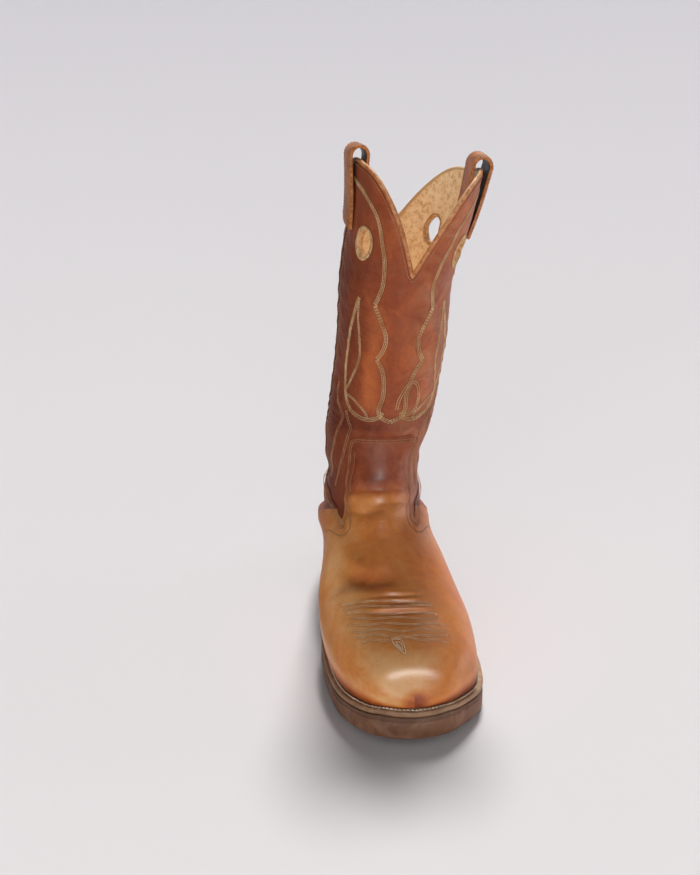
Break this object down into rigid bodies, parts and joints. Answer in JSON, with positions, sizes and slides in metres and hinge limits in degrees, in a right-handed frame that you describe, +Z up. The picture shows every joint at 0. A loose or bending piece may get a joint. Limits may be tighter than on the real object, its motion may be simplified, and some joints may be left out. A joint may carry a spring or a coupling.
{
  "type": "western boot",
  "caption": "Tall pull-on western boot with a scalloped shaft, pull straps, finger holes, fitted vamp and counter, stitched welt sole and a stacked heel.",
  "frame": {"origin": "middle of the bounding box's base, on the floor the boot stands on", "axes": "+Z up the shaft, -Y towards the toe, +X towards the outer (little toe) side of this left boot"},
  "size_m": [0.127, 0.2952, 0.3439],
  "materials": {
    "vamp_leather": "waxed full-grain leather, worn lighter at the toe",
    "shaft_leather": "waxed full-grain leather, dark red-brown, rubbed",
    "lining_leather": "unfinished tan lining leather",
    "edge_leather": "thin orange-tan rolled leather",
    "sock_leather": "smooth tan sock leather",
    "strap_leather": "folded dark leather with painted edges",
    "welt_leather": "oiled sole leather, stitched",
    "stacked_leather": "stacked sole leather, burnished edges",
    "sole_rubber": "brown sole rubber, matte",
    "fibreboard": "shaped leatherboard, raw",
    "cork": "granulated cork paste",
    "shank_steel": "bright rolled steel",
    "nail_brass": "satin"
  },
  "bodies": {
    "foot": {"vamp": "vamp_leather", "heel_counter": "vamp_leather", "vamp_lining": "lining_leather", "heel_lining": "lining_leather", "toe_box": "fibreboard", "counter_stiffener": "fibreboard", "welt": "welt_leather", "insole_rib": "fibreboard", "midsole": "stacked_leather", "insole": "fibreboard", "sock_liner": "sock_leather", "shank": "shank_steel", "cork_filler": "cork", "outsole": "sole_rubber", "heel_lift_1": "stacked_leather", "heel_lift_2": "stacked_leather", "heel_lift_3": "stacked_leather", "top_lift": "sole_rubber", "heel_nail_1": "nail_brass", "heel_nail_2": "nail_brass", "heel_nail_3": "nail_brass", "heel_nail_4": "nail_brass", "heel_nail_5": "nail_brass"},
    "shaft": {"shaft_front": "shaft_leather", "shaft_back": "shaft_leather", "shaft_lining_front": "lining_leather", "shaft_lining_back": "lining_leather", "finger_hole_edging_front_outer": "edge_leather", "finger_hole_edging_front_inner": "edge_leather", "finger_hole_edging_back_outer": "edge_leather", "finger_hole_edging_back_inner": "edge_leather", "side_piping_outer": "edge_leather", "side_piping_inner": "edge_leather", "top_binding_front": "edge_leather", "top_binding_back": "edge_leather", "vamp_tongue": "vamp_leather"},
    "strap_outer": {"pull_strap_outer": "strap_leather"},
    "strap_inner": {"pull_strap_inner": "strap_leather"}
  },
  "joints": [
    {"name": "ankle_flex", "type": "hinge", "parent": "foot", "child": "shaft", "pos_m": [-0.01446, 0.05278, 0.088], "axis": [1, 0, 0], "range_deg": [-4, 6], "stiffness_Nm_per_rad": 6},
    {"name": "strap_outer_rock", "type": "hinge", "parent": "shaft", "child": "strap_outer", "pos_m": [0.04716, 0.06847, 0.27976], "axis": [0, 1, 0], "range_deg": [-2.5, 2.5], "stiffness_Nm_per_rad": 0.1},
    {"name": "strap_inner_rock", "type": "hinge", "parent": "shaft", "child": "strap_inner", "pos_m": [-0.0316, 0.06846, 0.28846], "axis": [0, 1, 0], "range_deg": [-2.5, 2.5], "stiffness_Nm_per_rad": 0.1}
  ]
}
